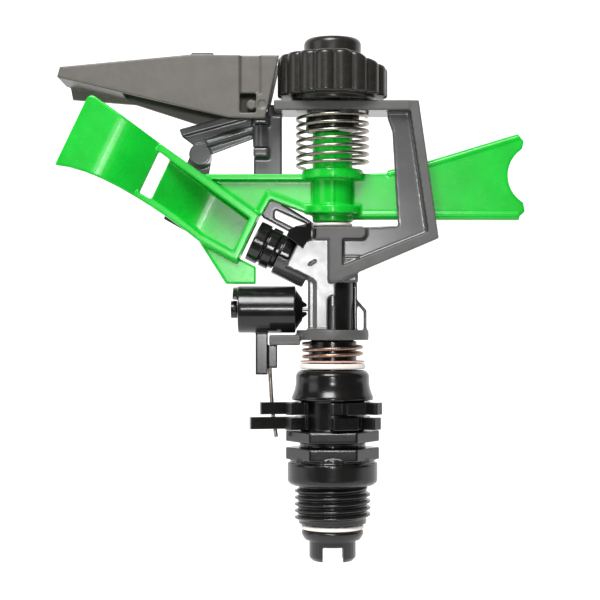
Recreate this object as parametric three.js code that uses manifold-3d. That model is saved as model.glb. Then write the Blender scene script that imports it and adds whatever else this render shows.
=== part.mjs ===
// A part-circle impact sprinkler in moulded plastic, in millimetres.
// The origin is on the spin axis, at the underside of the shoulder above the thread. +Z is up along the
// spin axis, the jet leaves towards -X, and -Y is the side that shows the spoon's channel.
import * as THREE from "three";
import { mergeVertices } from "three/addons/utils/BufferGeometryUtils.js";
import Module from "manifold-3d";

const wasm = await Module();
wasm.setup();

const GAP = 0.3; // clearance left between pieces that rest on each other

// Inlet: a half-inch parallel pipe thread.
const THREAD_RADIUS = 20.955 / 2;
const THREAD_ROOT_RADIUS = 18.631 / 2;
const THREAD_PITCH = 1.814;
const THREAD_BOTTOM = -10.7;
const SHOULDER_RADIUS = 12.35;
const SHOULDER_TOP = 6.05;
const HEX_RADIUS = 12.87;
const LOWER_HEX = [6.9, 10.2];
const UPPER_HEX = [11.8, 14.85];
const BARREL_RADIUS = 8.5;
const BELL_BOTTOM = 23.1;
const BELL_TOP = 31.35;
const BELL_RADIUS = 10.05;
const BELL_FLARE_RADIUS = 11.2;

// Rotating stem.
const STEM_RADIUS = 6.6;
const STEM_BORE = 4;
const SPIGOT_RADIUS = 5.7;
const SPIGOT_TOP = 57;
const NOSE_BOTTOM = -20.9;
const NOSE_RADIUS = 6.4;
const NOSE_FLANGE_RADIUS = 8.5;
const NOSE_SLOT = 5.5;

// Head casting.
const PLATE_RADIUS = 9.9;
const PLATE_BOTTOM = 39.6;
const PLATE_TOP = 42.35;
const FRAME_FRONT = -7.5;
const FRAME_BACK = -1.4;
const FRAME_WEB = [-4.6, -2.8]; // front and back of the thin web inside the rim
const BRIDGE_BOTTOM = 101.8;
const BRIDGE_TOP = 104.5;
const BRIDGE_HALF_DEPTH = 7.6;
const COLUMN_HALF = 6.8; // half of the square column round the spigot
const COLUMN_TOP = 62;
const WINDOW_TOP = 55.2; // the column is open at its front right, up to here
const BOSS_BOTTOM = 67.2;
const BOSS_TOP = 70.4;
const LEFT_POST = [1.4, 6];

// Jet: it climbs at JET_ANGLE from the point where its axis meets the spin axis.
const JET_ANGLE = THREE.MathUtils.degToRad(25.6);
const JET_ROOT_HEIGHT = 56.65;
const NOZZLE_RADIUS = 5.5;
const NOZZLE_MOUTH = 24; // along the jet from the spin axis
const NOZZLE_SHOULDER = 13.1; // where the nozzle butts on the socket
const LIP_END = 16; // the socket's lower lip runs on to here
const LIP_LEVEL = -1; // its height from the jet's axis
const SOCKET_RADIUS = 6.1;

// Arm.
const PIN_RADIUS = 1.9;
const PIN_TOP = 120;
const HUB_RADIUS = 5.5;
const HUB_BOTTOM = 71.9;
const HUB_TOP = 96.5;
const ARM_WEB = [-1, 1];
const ARM_RIB_FRONT = -3;
const CHANNEL_FRONT = -6; // front plane of the spoon's walls
const SHEET_DEEP = 4; // depth of the spoon's sheet beside the nozzle
const SHEET_NEAR = -9.7; // and at its outer end
const SHEET_STEPS = 40;
const SHEET_THICKNESS = 1.5;
const SHEET_RUN = [38.5, 71]; // where, along the jet, the sheet comes forward
const SPOON_START = 25.4;
const SPOON_END = 80.4;
const WALL = 2;

// Springs.
const ARM_SPRING = { radius: 9.7, wire: 0.45, from: 87.4, to: 101, turns: 6.5 };
const SEAL_SPRING = { radius: 8, wire: 0.5, from: 34.9, to: 38.8, turns: 2 };

// Knob and deflector.
const KNOB_RADIUS = 14.6;
const KNOB_LOBES = 18;
const KNOB_LOBE_DEPTH = 0.5;
const KNOB_BOTTOM = 106;
const KNOB_TOP = 117.2;
const KNOB_CAP_RADIUS = 7.8;
const KNOB_CAP_TOP = 122.4;
const DEFLECTOR_OUTSIDE = 8.5; // half of its width
const DEFLECTOR_WALL = 1.3;
const DEFLECTOR_PIVOT = [-19.2, 103.2];

// Trip gear.
const ROCKER_HEIGHT = 48;
const ROCKER_RADIUS = 6.4;
const ROCKER_LEFT = -25.9;
const ROCKER_RIGHT = -10.2;
const WIRE_REACH = 16.2;
const WIRE_RADIUS = 0.5;
const COLLAR_INSIDE = 8.8;
const COLLAR_OUTSIDE = 10.45;
const COLLAR_HEIGHT = 3.3;
const HOOK_PIVOT = [-19.7, -1.2];
const HOOK_LUGS = [[89.8, 92.1], [98.7, 101]];

const SEGMENTS = 30;

// --- solids ---------------------------------------------------------------------------------------

// A manifold-3d solid from a closed three.js geometry, turned right side out where it has to be.
function solid(geometry) {
  const bare = new THREE.BufferGeometry();
  bare.setAttribute("position", geometry.getAttribute("position"));
  if (geometry.index) bare.setIndex(geometry.index);
  const merged = mergeVertices(bare, 1e-4);
  const corners = new Uint32Array(merged.index.array);
  const place = merged.attributes.position.array;
  let volume = 0;
  const at = (i) => new THREE.Vector3().fromArray(place, corners[i] * 3);
  for (let i = 0; i < corners.length; i += 3) volume += at(i).dot(at(i + 1).cross(at(i + 2)));
  if (volume < 0) corners.reverse();
  return new wasm.Manifold(new wasm.Mesh({ numProp: 3, vertProperties: place, triVerts: corners }));
}

const join = (first, ...others) => others.reduce((all, one) => all.add(one), first);

const cut = (first, ...others) => others.reduce((all, one) => all.subtract(one), first);

// A slab whose outline lies in the XZ plane, from y = front to y = back.
function slab(outline, [front, back]) {
  const shape = outline instanceof THREE.Shape ? outline : outlineOf(outline);
  const options = { depth: back - front, bevelEnabled: false, curveSegments: 10 };
  const made = new THREE.ExtrudeGeometry(shape, options);
  return solid(made.rotateX(Math.PI / 2).translate(0, back, 0));
}

// A slab whose outline lies in the XY plane, from z = bottom to z = top.
function layer(outline, [bottom, top]) {
  const shape = outline instanceof THREE.Shape ? outline : outlineOf(outline);
  const options = { depth: top - bottom, bevelEnabled: false, curveSegments: 10 };
  const made = new THREE.ExtrudeGeometry(shape, options);
  return solid(made.translate(0, 0, bottom));
}

const outlineOf = (points) => new THREE.Shape(points.map(([x, y]) => new THREE.Vector2(x, y)));

function box([x0, x1], [y0, y1], [z0, z1]) {
  const made = new THREE.BoxGeometry(x1 - x0, y1 - y0, z1 - z0);
  return solid(made.translate((x0 + x1) / 2, (y0 + y1) / 2, (z0 + z1) / 2));
}

// A solid of revolution about the spin axis; the profile lists [radius, height]. It starts and ends on the
// axis, or closes on itself.
function turned(profile, segments = SEGMENTS) {
  const closing = profile[0][0] > 0 ? [profile[0]] : [];
  const points = [...profile, ...closing].map(([r, z]) => new THREE.Vector2(r, z));
  return solid(new THREE.LatheGeometry(points, segments).rotateX(Math.PI / 2));
}

// A ring from radius inner to radius outer about the spin axis.
const ring = (inner, outer, [bottom, top], segments = SEGMENTS) =>
  turned([[inner, bottom], [outer, bottom], [outer, top], [inner, top]], segments);

const disc = (radius, [bottom, top], segments = SEGMENTS) =>
  turned([[0, bottom], [radius, bottom], [radius, top], [0, top]], segments);

// A round rod between two points, tapered when endRadius differs.
function rod(start, end, radius, endRadius = radius, segments = 24) {
  const a = new THREE.Vector3(...start);
  const b = new THREE.Vector3(...end);
  const made = new THREE.CylinderGeometry(endRadius, radius, a.distanceTo(b), segments);
  const along = b.clone().sub(a).normalize();
  const turn = new THREE.Quaternion().setFromUnitVectors(new THREE.Vector3(0, 1, 0), along);
  made.applyQuaternion(turn).translate(...a.add(b).multiplyScalar(0.5).toArray());
  return solid(made);
}

// A straight bar of rectangular section between two points of the XZ plane.
function bar([x0, z0], [x1, z1], width, [front, back]) {
  const along = new THREE.Vector2(x1 - x0, z1 - z0).normalize();
  const side = new THREE.Vector2(-along.y, along.x).multiplyScalar(width / 2);
  const corners = [
    [x0 - side.x, z0 - side.y],
    [x1 - side.x, z1 - side.y],
    [x1 + side.x, z1 + side.y],
    [x0 + side.x, z0 + side.y],
  ];
  return slab(corners, [front, back]);
}

// A wire of round section along a helix about the spin axis, with a straight tail at each end.
class CoilPath extends THREE.Curve {
  constructor({ radius, from, to, turns, start, tail }) {
    super();
    Object.assign(this, { radius, from, to, turns, start, tail });
  }

  getPoint(t, target = new THREE.Vector3()) {
    const sweep = this.turns * 2 * Math.PI;
    const share = this.tail / (2 * this.tail + sweep * this.radius);
    const inCoil = THREE.MathUtils.clamp((t - share) / (1 - 2 * share), 0, 1);
    const beyond = t < share ? (t - share) / share : Math.max(0, (t - 1 + share) / share);
    const angle = this.start + inCoil * sweep;
    const height = THREE.MathUtils.lerp(this.from, this.to, inCoil);
    const slip = this.tail ? beyond * this.tail : 0;
    return target.set(
      Math.cos(angle) * this.radius - Math.sin(angle) * slip,
      Math.sin(angle) * this.radius + Math.cos(angle) * slip,
      height,
    );
  }
}

function coil(spring, start, tail, steps) {
  const section = new THREE.Shape();
  const sides = 6;
  for (let i = 0; i < sides; i++) {
    const angle = (i / sides) * 2 * Math.PI;
    const point = [Math.cos(angle) * spring.wire, Math.sin(angle) * spring.wire];
    if (i) section.lineTo(...point);
    else section.moveTo(...point);
  }
  const extrudePath = new CoilPath({ ...spring, start, tail });
  return solid(new THREE.ExtrudeGeometry(section, { steps, extrudePath, bevelEnabled: false }));
}

// A point given by its distance along the jet and its height above the jet's axis, as [x, z].
function onJet(along, above) {
  const [c, s] = [Math.cos(JET_ANGLE), Math.sin(JET_ANGLE)];
  return [-along * c + above * s, JET_ROOT_HEIGHT + along * s + above * c];
}

// The same point as [x, y, z] on the plane of the jet.
function jetPoint(along, above = 0) {
  const [x, z] = onJet(along, above);
  return [x, 0, z];
}

// --- base, stem and washers -----------------------------------------------------------------------

function threadedBase() {
  const bore = STEM_RADIUS + GAP;
  const profile = [[bore, THREAD_BOTTOM], [THREAD_ROOT_RADIUS, THREAD_BOTTOM]];
  const turns = 5;
  for (let i = 0; i < turns; i++) {
    const low = THREAD_BOTTOM + 0.5 + i * THREAD_PITCH;
    profile.push([THREAD_ROOT_RADIUS, low], [THREAD_RADIUS, low + 0.75], [THREAD_RADIUS, low + 1.05]);
    profile.push([THREAD_ROOT_RADIUS, low + 1.7]);
  }
  const lip = 0.9;
  profile.push([THREAD_ROOT_RADIUS, 0], [SHOULDER_RADIUS - lip, 0], [SHOULDER_RADIUS, lip]);
  profile.push([SHOULDER_RADIUS, SHOULDER_TOP], [SHOULDER_RADIUS - lip, SHOULDER_TOP]);
  profile.push([SHOULDER_RADIUS - lip, LOWER_HEX[0] + 0.2], [9.1, LOWER_HEX[1]], [9.1, UPPER_HEX[0]]);
  profile.push([BARREL_RADIUS, UPPER_HEX[1]], [BARREL_RADIUS, BELL_BOTTOM]);
  profile.push([BELL_FLARE_RADIUS, BELL_BOTTOM], [BELL_FLARE_RADIUS, BELL_BOTTOM + 0.7]);
  profile.push([BELL_RADIUS, BELL_BOTTOM + 4], [BELL_RADIUS, BELL_TOP - 1.2], [BELL_RADIUS - 1.2, BELL_TOP]);
  profile.push([bore, BELL_TOP]);
  const hexes = [LOWER_HEX, UPPER_HEX].map((span) => {
    const hex = new THREE.CylinderGeometry(HEX_RADIUS, HEX_RADIUS, span[1] - span[0], 6);
    hex.rotateX(Math.PI / 2).rotateZ(Math.PI / 2).translate(0, 0, (span[0] + span[1]) / 2);
    return cut(solid(hex), disc(bore, [span[0] - 1, span[1] + 1]));
  });
  return join(turned(profile), ...hexes);
}

function stemTube() {
  const flangeTop = -13.2;
  const flangeBottom = -15.1;
  const profile = [
    [STEM_BORE, NOSE_BOTTOM],
    [NOSE_RADIUS - 0.9, NOSE_BOTTOM],
    [NOSE_RADIUS, NOSE_BOTTOM + 1],
    [NOSE_RADIUS, flangeBottom],
    [NOSE_FLANGE_RADIUS - 0.9, flangeBottom],
    [NOSE_FLANGE_RADIUS, flangeTop],
    [STEM_RADIUS, flangeTop],
    [STEM_RADIUS, PLATE_BOTTOM - GAP],
    [SPIGOT_RADIUS, PLATE_BOTTOM - GAP],
    [SPIGOT_RADIUS, SPIGOT_TOP],
    [STEM_BORE, SPIGOT_TOP],
  ];
  const slot = box([-NOSE_SLOT / 2, NOSE_SLOT / 2], [-10, 10], [NOSE_BOTTOM - 1, -16.8]);
  return cut(turned(profile), slot);
}

// --- head -----------------------------------------------------------------------------------------

function headCasting() {
  const frame = [FRAME_FRONT, FRAME_BACK];
  const half = COLUMN_HALF;
  const plate = disc(PLATE_RADIUS, [PLATE_BOTTOM, PLATE_TOP], 48);
  const column = box([-half, half], [-half, half], [PLATE_TOP - 0.5, COLUMN_TOP]);
  const pad = slab(
    [[-10.3, 58.4], [-5.4, 56], [-4.7, 55.2], [-4.7, PLATE_TOP - 0.7], [1.5, PLATE_TOP - 0.7],
      [1.5, COLUMN_TOP + 0.5], [-1, 68], [-8.6, 66.4], onJet(NOZZLE_SHOULDER - GAP, 4), onJet(NOZZLE_SHOULDER - GAP, -3)],
    [-half - 0.4, 6.2],
  );
  const rib = box([-0.8, 2.4], [FRAME_FRONT, 5], [55.6, BOSS_BOTTOM + 1]);
  const boss = slab(
    [[-4.6, BOSS_BOTTOM], [8, BOSS_BOTTOM], [8.9, BOSS_BOTTOM + 0.9], [8.9, BOSS_TOP - 0.9], [8, BOSS_TOP],
      [-4.6, BOSS_TOP]],
    [FRAME_FRONT, 5.4],
  );
  const lowerWeb = slab([[1, 57], [27, 68], [26, 71], [0, 70]], FRAME_WEB);
  const slope = slab([[-0.3, 58.6], [27, 69.4], [28.6, 67.2], [1.3, 55.6], [-0.6, 56.6]], frame);
  const post = slab([[25.9, 68.2], [28.6, 67.2], [23.2, BRIDGE_TOP], [20.5, BRIDGE_TOP]], frame);
  const postWeb = slab(
    [[17.8, 70], [26.5, 68.5], [21, 103], [14.9, 103], [14.9, 100], [16.2, 96.4]],
    FRAME_WEB,
  );
  const bracket = box([-17.3, -8.9], [-6.6, 6.6], [38.2, 41]);
  const lugs = HOOK_LUGS.map((span) => box([-21.7, -17.7], [-3.2, LEFT_POST[0] + 0.4], span));
  const spigotRoom = SPIGOT_RADIUS + GAP;
  const whole = cut(
    join(plate, column, pad, rib, boss, bracket, lowerWeb, slope, post, postWeb, bridgePlate(), leftPostSlab(), ...lugs),
    rod([0, 0, PLATE_BOTTOM - 1], [0, 0, SPIGOT_TOP + GAP], spigotRoom, spigotRoom, 48),
    box([0.6, 7.2], [-9, 0], [PLATE_TOP, WINDOW_TOP]),
    slab([[-1.4, PLATE_TOP], [-1.4, 50.4], [-0.9, 51.3], [-0.2, 51.6], [0.9, 51.6], [0.9, PLATE_TOP]], [-9, -2]),
    box([-19, -14.2], [-2.4, 5.4], [38, 41.2]),
  );
  const tongue = box([-0.5, 0.6], [-7, -6.1], [PLATE_TOP - 0.3, 49]);
  return cut(
    join(whole, socket(), tongue, wireGuard()),
    rod(jetPoint(-1), jetPoint(LIP_END + 1), 4.6),
    rod([0, 0, 62], [0, 0, 72], PIN_RADIUS + GAP),
    disc(HUB_RADIUS + 0.5, [BOSS_TOP, HUB_BOTTOM + 1]),
    rod([0, 0, BRIDGE_BOTTOM - 1], [0, 0, BRIDGE_TOP + 1], PIN_RADIUS + GAP),
    rod([-8, 0, ROCKER_HEIGHT], [-5.2, 0, ROCKER_HEIGHT], 1.3),
    rod([...HOOK_PIVOT, 89], [...HOOK_PIVOT, 102], 1.3),
    rod([DEFLECTOR_PIVOT[0], -9, DEFLECTOR_PIVOT[1]], [DEFLECTOR_PIVOT[0], 9, DEFLECTOR_PIVOT[1]], 1.3),
  );
}

// The round socket for the nozzle, whose upper half is cut back behind a lower lip.
function socket() {
  const outer = rod(jetPoint(6.5), jetPoint(LIP_END), SOCKET_RADIUS);
  const corners = [[NOZZLE_SHOULDER - GAP, LIP_LEVEL], [20, LIP_LEVEL], [20, 9], [NOZZLE_SHOULDER - GAP, 9]];
  return cut(outer, slab(corners.map((corner) => onJet(...corner)), [-9, 9]));
}

// The thin bent strip beside the open side of the column.
function wireGuard() {
  const foot = PLATE_TOP - 0.3;
  return slab([[6.2, 51.4], [9.4, 47.8], [9.4, foot], [8.6, foot], [8.6, 47.4], [6.2, 50.2]], [0.4, 2.8]);
}

// The flat top of the frame, rounded at its right end.
function bridgePlate() {
  const outline = new THREE.Shape();
  const corner = 3;
  const insideFlap = DEFLECTOR_OUTSIDE - DEFLECTOR_WALL - GAP;
  outline.moveTo(-16, -BRIDGE_HALF_DEPTH);
  outline.lineTo(23.2 - corner, -BRIDGE_HALF_DEPTH);
  outline.absarc(23.2 - corner, -BRIDGE_HALF_DEPTH + corner, corner, -Math.PI / 2, 0);
  outline.absarc(23.2 - corner, BRIDGE_HALF_DEPTH - corner, corner, 0, Math.PI / 2);
  outline.lineTo(-13, BRIDGE_HALF_DEPTH);
  outline.lineTo(-13, insideFlap);
  outline.lineTo(-21.7, insideFlap);
  outline.lineTo(-21.7, LEFT_POST[0]);
  outline.lineTo(-16, LEFT_POST[0]);
  return layer(outline, [BRIDGE_BOTTOM, BRIDGE_TOP]);
}

// The rear post beside the jet, with the window between its two lower strips.
function leftPostSlab() {
  const outer = slab(
    [[-21.7, BRIDGE_TOP - 1], [-21.7, 79], [-19.2, 73.4], [-4.6, 65.6], [-4.6, 71.6], [-13.9, 77.4],
      [-13.9, BRIDGE_TOP - 1]],
    LEFT_POST,
  );
  return cut(outer, slab([[-15.9, 75.6], [-15.9, 73.3], [-8.5, 69.6], [-6.4, 69.6], [-6.4, 71.3]], [0, 8]));
}

function nozzle() {
  const steps = [
    [NOZZLE_SHOULDER, 15.9, 6],
    [15.8, 17.6, 5],
    [17.5, 20.1, 5.7],
    [20, 20.9, 5],
    [20.8, NOZZLE_MOUTH, 5.7],
  ];
  const body = steps.map(([from, to, radius]) => rod(jetPoint(from), jetPoint(to), radius, radius, 36));
  const lipRoom = [[NOZZLE_SHOULDER - 1, LIP_LEVEL - 9], [LIP_END + GAP, LIP_LEVEL - 9],
    [LIP_END + GAP, LIP_LEVEL + GAP], [NOZZLE_SHOULDER - 1, LIP_LEVEL + GAP]];
  const outside = cut(join(...body), slab(lipRoom.map((corner) => onJet(...corner)), [-9, 9]));
  const sleeve = rod(jetPoint(9), jetPoint(18), 4.3);
  const bore = rod(jetPoint(8), jetPoint(NOZZLE_MOUTH + 1), 3.2, 2.1);
  return cut(join(outside, sleeve), bore);
}

// The black keeper that locks the nozzle into its socket: a face plate with a block behind it.
function nozzleKeeper() {
  const face = slab(
    [[-12.6, 67.7], [-11.7, 69.5], [-9.8, 70.4], [-7.4, 70.4], [-6.6, 71.4], [-5.9, 71.4], [-5.9, 67], [-7.3, 65.9],
      [-8.1, 64.3]],
    [-8.3, -7.5],
  );
  const block = slab(
    [[-11.7, 69.5], [-9.8, 70.4], [-5.9, 71.2], [-5.9, 68.2], [-10.4, 67.1], [-12.2, 68.2]],
    [-7.6, 1],
  );
  return join(face, cut(block, rod(jetPoint(0), jetPoint(30), SOCKET_RADIUS + GAP)));
}

// --- arm ------------------------------------------------------------------------------------------

// Depth of the middle of the spoon's sheet at a distance along the jet.
function sheetDepth(along) {
  const share = THREE.MathUtils.smoothstep(along, ...SHEET_RUN);
  return THREE.MathUtils.lerp(SHEET_DEEP, SHEET_NEAR, share);
}

// The S-shaped sheet, ruled across the jet. Its section is drawn along the jet and swept across it.
function spoonSheet() {
  const steps = SHEET_STEPS;
  const run = SPOON_END - SPOON_START;
  const stations = Array.from({ length: steps + 1 }, (_, i) => SPOON_START + (run * i) / steps);
  const half = SHEET_THICKNESS / 2;
  const front = stations.map((along) => [-along, sheetDepth(along) - half]);
  const back = stations.map((along) => [-along, sheetDepth(along) + half]).reverse();
  const shape = outlineOf([...front, ...back]);
  const made = new THREE.ExtrudeGeometry(shape, { depth: 40, bevelEnabled: false });
  made.translate(0, 0, -15).rotateY(JET_ANGLE).translate(0, 0, JET_ROOT_HEIGHT);
  return solid(made);
}

// The spoon's edge, drawn as seen from the front: straight above, bowed below, with one rounded tip.
function spoonOutline(inset) {
  const shape = new THREE.Shape();
  const start = SPOON_START + inset;
  shape.moveTo(...onJet(start, -7.4 + inset));
  shape.lineTo(...onJet(start, 6.8 - inset));
  shape.lineTo(...onJet(SPOON_END - 2.4, 16 - inset));
  shape.quadraticCurveTo(...onJet(SPOON_END, 16.4 - inset), ...onJet(SPOON_END, 14.4 - inset));
  shape.lineTo(...onJet(SPOON_END, -5.2 + inset));
  shape.bezierCurveTo(
    ...onJet(SPOON_END - 12, -0.6 + inset),
    ...onJet(SPOON_END - 34, -4.6 + inset),
    ...onJet(SPOON_END - 43, -6.8 + inset),
  );
  return shape;
}

function spoon() {
  const outline = slab(spoonOutline(0), [-12, 8]);
  const sheet = outline.intersect(spoonSheet());
  const band = cut(outline, slab(spoonOutline(WALL), [-14, 10]));
  const channelEnd = 58;
  const front = SHEET_DEEP + SHEET_THICKNESS / 2;
  const reach = slab(
    [onJet(SPOON_START - 1, -12), onJet(channelEnd, -12), onJet(channelEnd, 20), onJet(SPOON_START - 1, 20)],
    [CHANNEL_FRONT, front],
  );
  const walls = band.intersect(reach).subtract(behindSheet());
  const jetWindow = slab(
    [onJet(SPOON_START - 1, -5), onJet(SPOON_START + WALL + 0.6, -5), onJet(SPOON_START + WALL + 0.6, 4.8),
      onJet(SPOON_START - 1, 4.8)],
    [-3.4, SHEET_DEEP - SHEET_THICKNESS / 2 - 0.2],
  );
  const slot = slab([onJet(54, -2.2), onJet(57.4, -2), onJet(57.4, 10.4), onJet(54, 9.8)], [-12, 8]);
  return cut(join(sheet, walls), jetWindow, slot);
}

// Everything behind the sheet, which trims the walls to it.
function behindSheet() {
  const steps = SHEET_STEPS;
  const half = SHEET_THICKNESS / 2;
  const edge = Array.from({ length: steps + 1 }, (_, i) => {
    const along = SPOON_START - 2 + ((SPOON_END - SPOON_START + 4) * i) / steps;
    return [-along, sheetDepth(along) + half - 0.05];
  });
  const shape = outlineOf([...edge, [-SPOON_END - 2, 20], [-SPOON_START + 2, 20]]);
  const made = new THREE.ExtrudeGeometry(shape, { depth: 60, bevelEnabled: false });
  made.translate(0, 0, -25).rotateY(JET_ANGLE).translate(0, 0, JET_ROOT_HEIGHT);
  return solid(made);
}

function arm() {
  const bore = PIN_RADIUS + GAP;
  const hub = turned([
    [bore, HUB_BOTTOM], [HUB_RADIUS, HUB_BOTTOM], [HUB_RADIUS, 74.1], [7.6, 74.1], [7.6, 76.3],
    [HUB_RADIUS, 76.3], [HUB_RADIUS, 83.7], [8.4, 83.7], [8.4, 86.2], [HUB_RADIUS, 86.2],
    [HUB_RADIUS, HUB_TOP], [bore, HUB_TOP],
  ]);
  const corner = onJet(SPOON_START + 0.6, 5.6);
  const web = slab(
    [[-4, 74.2], [-5, 74.2], [-17.2, 79], corner, onJet(44, 9), [-37.1, 85], [-4, 85]],
    ARM_WEB,
  );
  const ribs = [
    bar([-4, 84.2], [-36.5, 84.2], 1.6, [ARM_RIB_FRONT, ARM_WEB[1]]),
    bar([-5, 74.3], [-17.6, 79.1], 1.6, [ARM_RIB_FRONT, ARM_WEB[1]]),
    bar([-17, 79.6], [-20.2, 74], 1.6, [ARM_RIB_FRONT, ARM_WEB[1]]),
  ];
  const fin = slab(
    [[-37.3, 67.7], [-29.1, 54.9], [-21, 54.9], [-21, 59.6], [-25.4, 61.8], [-26.5, 63.6]],
    [-4, -2.2],
  );
  const solids = join(spoon(), web, ...ribs, fin, paddle());
  return join(cut(solids, disc(4.6, [70, 98])), hub);
}

// The counterweight side, with a round notch in its end.
function paddle() {
  const shape = new THREE.Shape();
  shape.moveTo(4, 74);
  shape.lineTo(51.7, 73.8);
  shape.lineTo(52.8, 74.9);
  shape.lineTo(52.3, 77.4);
  shape.absarc(56.7, 84.8, 8.6, Math.PI + 1.03, Math.PI - 1.0, true);
  shape.lineTo(52.5, 94.2);
  shape.lineTo(51.3, 95.6);
  shape.lineTo(26.9, 88.1);
  shape.lineTo(15.3, 85.4);
  shape.lineTo(4, 85.2);
  return slab(shape, ARM_WEB);
}

// --- top ------------------------------------------------------------------------------------------

function knob() {
  const shape = new THREE.Shape();
  const points = KNOB_LOBES * 6;
  for (let i = 0; i < points; i++) {
    const angle = (i / points) * 2 * Math.PI;
    const radius = KNOB_RADIUS + KNOB_LOBE_DEPTH * Math.cos(angle * KNOB_LOBES);
    const point = [Math.cos(angle) * radius, Math.sin(angle) * radius];
    if (i) shape.lineTo(...point);
    else shape.moveTo(...point);
  }
  const grip = layer(shape, [KNOB_BOTTOM, KNOB_TOP]);
  const neck = disc(11.6, [BRIDGE_TOP + GAP, KNOB_BOTTOM + 0.5]);
  const cap = turned([[0, KNOB_TOP - 0.5], [KNOB_CAP_RADIUS, KNOB_TOP - 0.5], [KNOB_CAP_RADIUS, 120.6],
    [6, 121.9], [0, KNOB_CAP_TOP]], 24);
  return cut(join(grip, neck, cap), rod([0, 0, BRIDGE_TOP - 1], [0, 0, PIN_TOP + GAP], PIN_RADIUS + GAP));
}

function deflector() {
  const side = [-DEFLECTOR_OUTSIDE, -DEFLECTOR_OUTSIDE + DEFLECTOR_WALL];
  const rear = [-side[1], -side[0]];
  const top = [[-14.6, 116.4], [-38.7, 116.6], [-73.7, 113.3]];
  const near = slab([...top, [-74.5, 110.5], [-28.4, 99.7], [-18.4, 99.4]], side);
  const far = slab([...top, [-72.5, 106.7], [-54.8, 105.3], [-38, 99.9], [-18.4, 99.4]], rear);
  const span = [side[0], rear[1]];
  const roof = slab([[-17.4, 116.4], [-38.7, 116.6], [-73.7, 113.3], [-73.6, 111.9], [-38.7, 115.2],
    [-17.8, 115]], span);
  const tip = slab([[-73.7, 113.3], [-74.5, 110.5], [-57.5, 106.9], [-57.5, 108.3], [-72.4, 111.6],
    [-72.2, 113.3]], span);
  const hole = box([-25.2, -20.8], [-10, -5], [101, 106.2]);
  const [pinX, pinZ] = DEFLECTOR_PIVOT;
  const pinHole = rod([pinX, -10, pinZ], [pinX, 10, pinZ], 1.3);
  return cut(join(near, far, roof, tip), hole, pinHole);
}

function deflectorPin() {
  const [x, z] = DEFLECTOR_PIVOT;
  return rod([x, -DEFLECTOR_OUTSIDE + 0.1, z], [x, DEFLECTOR_OUTSIDE - 0.1, z], 1, 1, 16);
}

// --- trip gear ------------------------------------------------------------------------------------

function rocker() {
  const axis = (x, rise = 0) => [x, 0, ROCKER_HEIGHT + rise];
  const barrel = rod(axis(ROCKER_LEFT), axis(ROCKER_RIGHT), ROCKER_RADIUS, ROCKER_RADIUS, 40);
  const overCap = cut(
    rod(axis(ROCKER_LEFT - 1.4), axis(ROCKER_LEFT + 0.5), ROCKER_RADIUS - 0.3, ROCKER_RADIUS - 0.3, 40),
    box([ROCKER_LEFT - 2, ROCKER_LEFT + 0.2], [-9, 9], [ROCKER_HEIGHT - 9, ROCKER_HEIGHT + 2.7]),
  );
  const cone = rod(axis(ROCKER_RIGHT - 0.1), axis(-8.3), ROCKER_RADIUS - 0.5, 3, 40);
  const prongs = [-1.4, 1.4].map((rise) => rod(axis(-8.9, rise), axis(-7.1, rise * 0.7), 1.3, 0.5, 12));
  const pawl = box([-21.1, -17.8], [-1.7, 1.7], [30.1, ROCKER_HEIGHT - 4]);
  const prong = box([-18, -15.2], [-1.2, 1.2], [31.9, 38.2]);
  const bearing = rod(axis(-30), axis(-20), 1.2);
  return cut(join(barrel, overCap, cone, ...prongs, pawl, prong), bearing, rod(axis(-20), axis(0), 0.75));
}

function rockerPin() {
  return rod([-19.5, 0, ROCKER_HEIGHT], [-6.4, 0, ROCKER_HEIGHT], 0.45, 0.45, 12);
}

function rockerCap() {
  const face = rod([-27.9, 0, ROCKER_HEIGHT], [ROCKER_LEFT - GAP, 0, ROCKER_HEIGHT], 2.4);
  return join(face, rod([-26.5, 0, ROCKER_HEIGHT], [-21, 0, ROCKER_HEIGHT], 0.9, 0.9, 16));
}

function tripWire() {
  const bend = [-WIRE_REACH, 0, 22.9];
  const upper = rod([-16.6, 0, 31.5], bend, WIRE_RADIUS, WIRE_RADIUS, 12);
  const lower = rod([-WIRE_REACH, 0, 23.1], [-WIRE_REACH, 0, 12.8], WIRE_RADIUS, WIRE_RADIUS, 12);
  return join(upper, lower);
}

// A snap-on collar: a ring open at the front, one long stop tab, and the grips that turn it by hand.
function collar(bottom, tabAngle, tabReach, grips) {
  const span = [bottom, bottom + COLLAR_HEIGHT];
  const body = ring(COLLAR_INSIDE, COLLAR_OUTSIDE, span);
  const finger = (angle, inner, outer, width) => {
    const turn = THREE.MathUtils.degToRad(angle);
    const [c, s] = [Math.cos(turn), Math.sin(turn)];
    const place = (r, w) => [r * c - w * s, r * s + w * c];
    const half = width / 2;
    return layer([place(inner, -half), place(outer, -half), place(outer, half), place(inner, half)], span);
  };
  const stop = finger(tabAngle, 9, tabReach, 2.4);
  const tabs = [stop, ...grips.map((grip) => finger(grip.angle, 9, grip.reach, grip.width))];
  const mouth = finger(246, 5, 14, 6);
  return cut(join(body, ...tabs), mouth, disc(COLLAR_INSIDE, [bottom - 1, bottom + 5]));
}

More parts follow.
